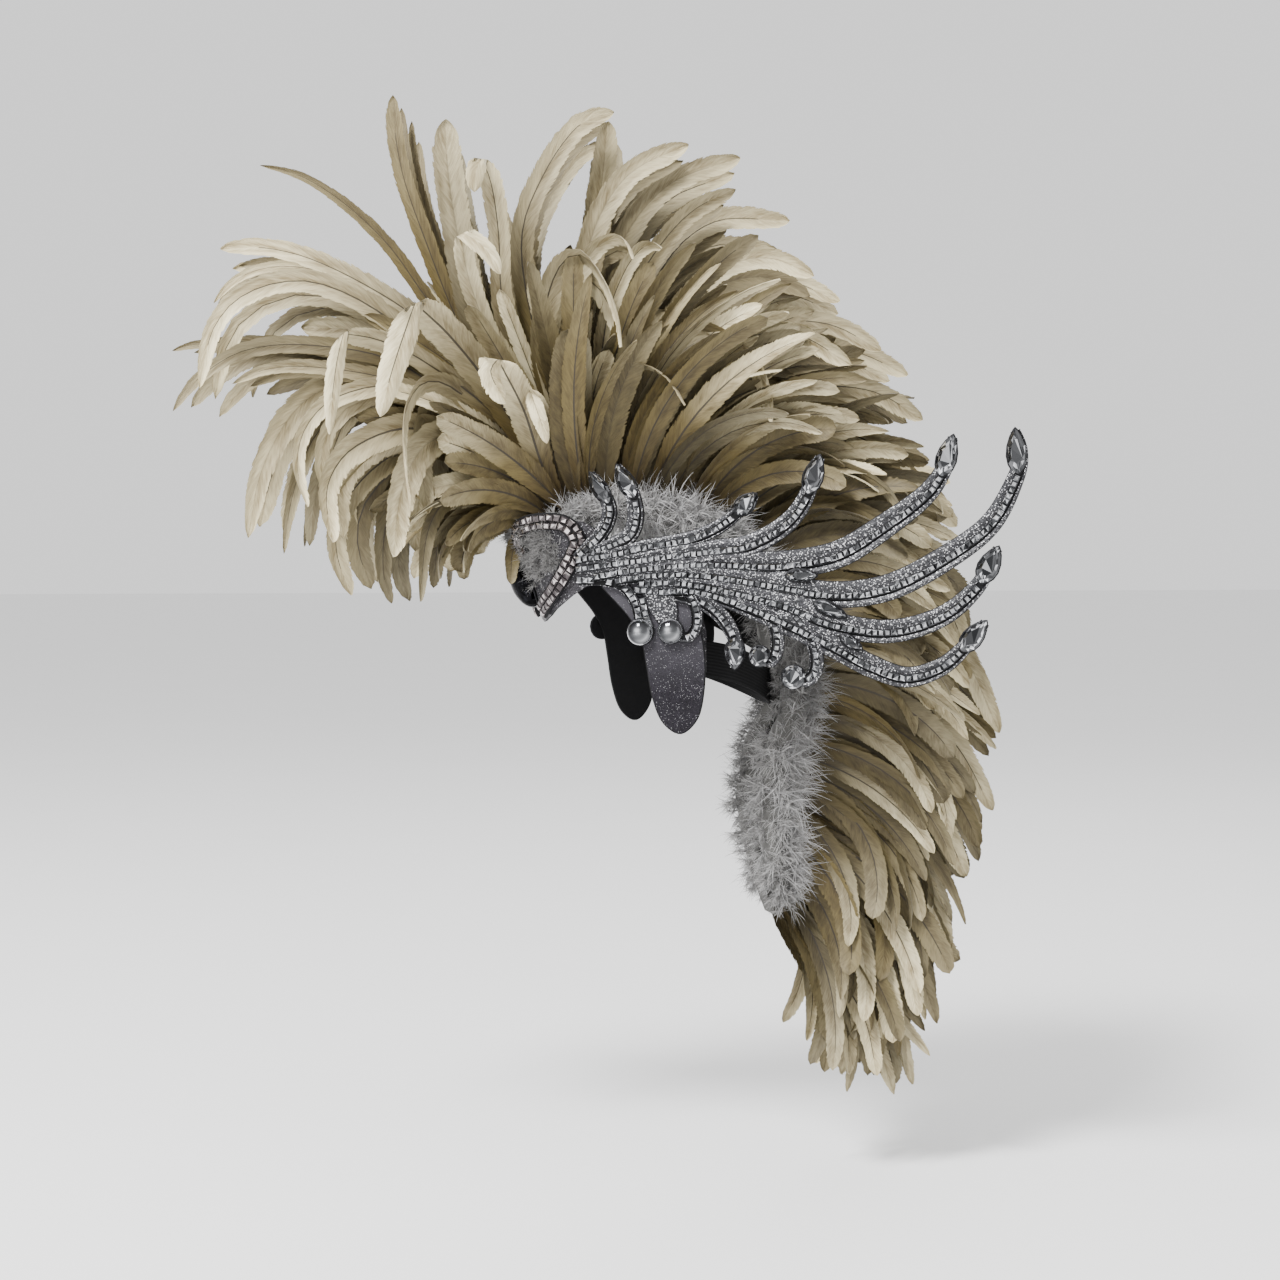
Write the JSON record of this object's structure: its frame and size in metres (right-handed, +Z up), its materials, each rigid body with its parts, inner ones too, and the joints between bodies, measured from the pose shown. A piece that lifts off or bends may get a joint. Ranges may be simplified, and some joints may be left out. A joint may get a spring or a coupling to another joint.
{
  "type": "feathered headdress",
  "caption": "Worn show headdress: foam band and elastic strap round the head, a median crest of long feathers from brow to below the neck, and a pair of cut-out wing plates set with stones.",
  "frame": {"origin": "the middle of the head opening in the median plane, at the height where the band and the strap grip the head", "axes": "+X to the wearer's left, -Y to the front where the brow plume and centre stone are, +Z up"},
  "size_m": [0.3884, 0.6982, 0.8705],
  "materials": {
    "glitter_foam": "foam sheet faced with silver glitter, black cut edges",
    "crystal": "clear cut stones with mirrored backs",
    "jet_stone": "black cut stone",
    "black_elastic": "woven black elastic",
    "strip_felt": "stiff felt",
    "champagne_feather": "dyed cock tail feathers, cream tips and ochre bases, dark quills",
    "white_marabou": "soft white marabou down"
  },
  "bodies": {
    "root": {"bottom_frond_stone_left": "crystal", "bottom_frond_stone_right": "crystal", "centre_stone": "jet_stone", "cheek_flap_left": "glitter_foam", "cheek_flap_right": "glitter_foam", "crest_strip": "strip_felt", "crown_band": "glitter_foam", "ear_curl_stone_left": "crystal", "ear_curl_stone_right": "crystal", "ear_leaf_stone_left": "crystal", "ear_leaf_stone_right": "crystal", "front_curl_stone_left": "crystal", "front_curl_stone_right": "crystal", "front_scroll_left": "glitter_foam", "front_scroll_right": "glitter_foam", "front_stem_stone_left": "crystal", "front_stem_stone_right": "crystal", "head_strap": "black_elastic", "inner_curl_stone_left": "crystal", "inner_curl_stone_right": "crystal", "long_frond_stone_left": "crystal", "long_frond_stone_right": "crystal", "lower_fork_stone_left": "crystal", "lower_fork_stone_right": "crystal", "lower_frond_stone_left": "crystal", "lower_frond_stone_right": "crystal", "marabou_trim_left": "white_marabou", "marabou_trim_right": "white_marabou", "middle_fork_stone_left": "crystal", "middle_fork_stone_right": "crystal", "outer_curl_stone_left": "crystal", "outer_curl_stone_right": "crystal", "plume_back": "champagne_feather", "plume_brow": "champagne_feather", "plume_crown": "champagne_feather", "plume_front": "champagne_feather", "plume_nape": "champagne_feather", "plume_tail": "champagne_feather", "rear_stem_stone_left": "crystal", "rear_stem_stone_right": "crystal", "short_frond_stone_left": "crystal", "short_frond_stone_right": "crystal", "sickle_frond_stone_left": "crystal", "sickle_frond_stone_right": "crystal", "stone_rows_left": "crystal", "stone_rows_right": "crystal", "upper_fork_stone_left": "crystal", "upper_fork_stone_right": "crystal", "upper_frond_stone_left": "crystal", "upper_frond_stone_right": "crystal", "wing_plate_left": "glitter_foam", "wing_plate_right": "glitter_foam"}
  },
  "joints": []
}
